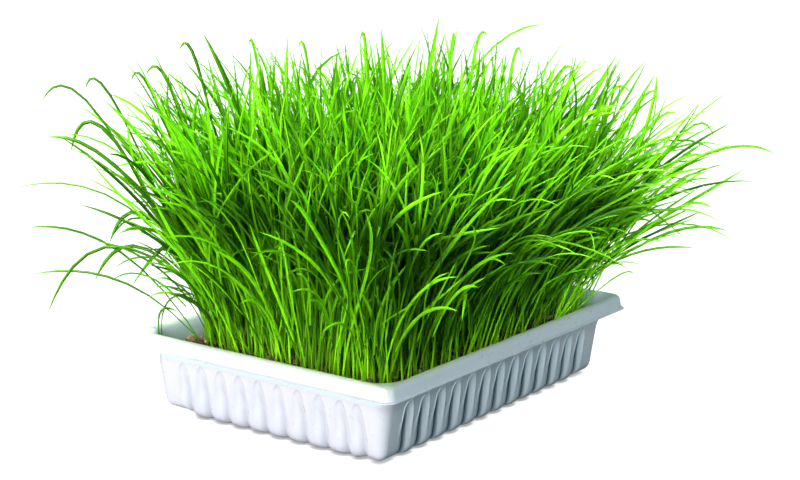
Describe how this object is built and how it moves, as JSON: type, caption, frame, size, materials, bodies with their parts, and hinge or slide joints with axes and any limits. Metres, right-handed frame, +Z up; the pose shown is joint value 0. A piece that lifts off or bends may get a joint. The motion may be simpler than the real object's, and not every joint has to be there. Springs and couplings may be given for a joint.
{
  "type": "wheatgrass tray",
  "caption": "Shallow fluted plastic tray of dark soil with a dense stand of upright, arching wheatgrass blades.",
  "frame": {"origin": "centre of the tray's flat underside", "axes": "+Z up; X along the tray's long side; Y along its short side"},
  "size_m": [0.3659, 0.3008, 0.214],
  "materials": {
    "tray": "thin white formed plastic, satin gloss, slightly bluish",
    "soil": "dark, damp, lumpy potting compost",
    "grass": "fresh green grass blades, satin, paler at the foot"
  },
  "bodies": {
    "root": {"tray": "tray", "soil": "soil", "grass_tuft_01": "grass", "grass_tuft_02": "grass", "grass_tuft_03": "grass", "grass_tuft_04": "grass", "grass_tuft_05": "grass", "grass_tuft_06": "grass", "grass_tuft_07": "grass", "grass_tuft_08": "grass", "grass_tuft_09": "grass", "grass_tuft_10": "grass", "grass_tuft_11": "grass", "grass_tuft_12": "grass", "grass_tuft_13": "grass", "grass_tuft_14": "grass", "grass_tuft_15": "grass", "grass_tuft_16": "grass", "grass_tuft_17": "grass", "grass_tuft_18": "grass", "grass_tuft_19": "grass", "grass_tuft_20": "grass"}
  },
  "joints": []
}
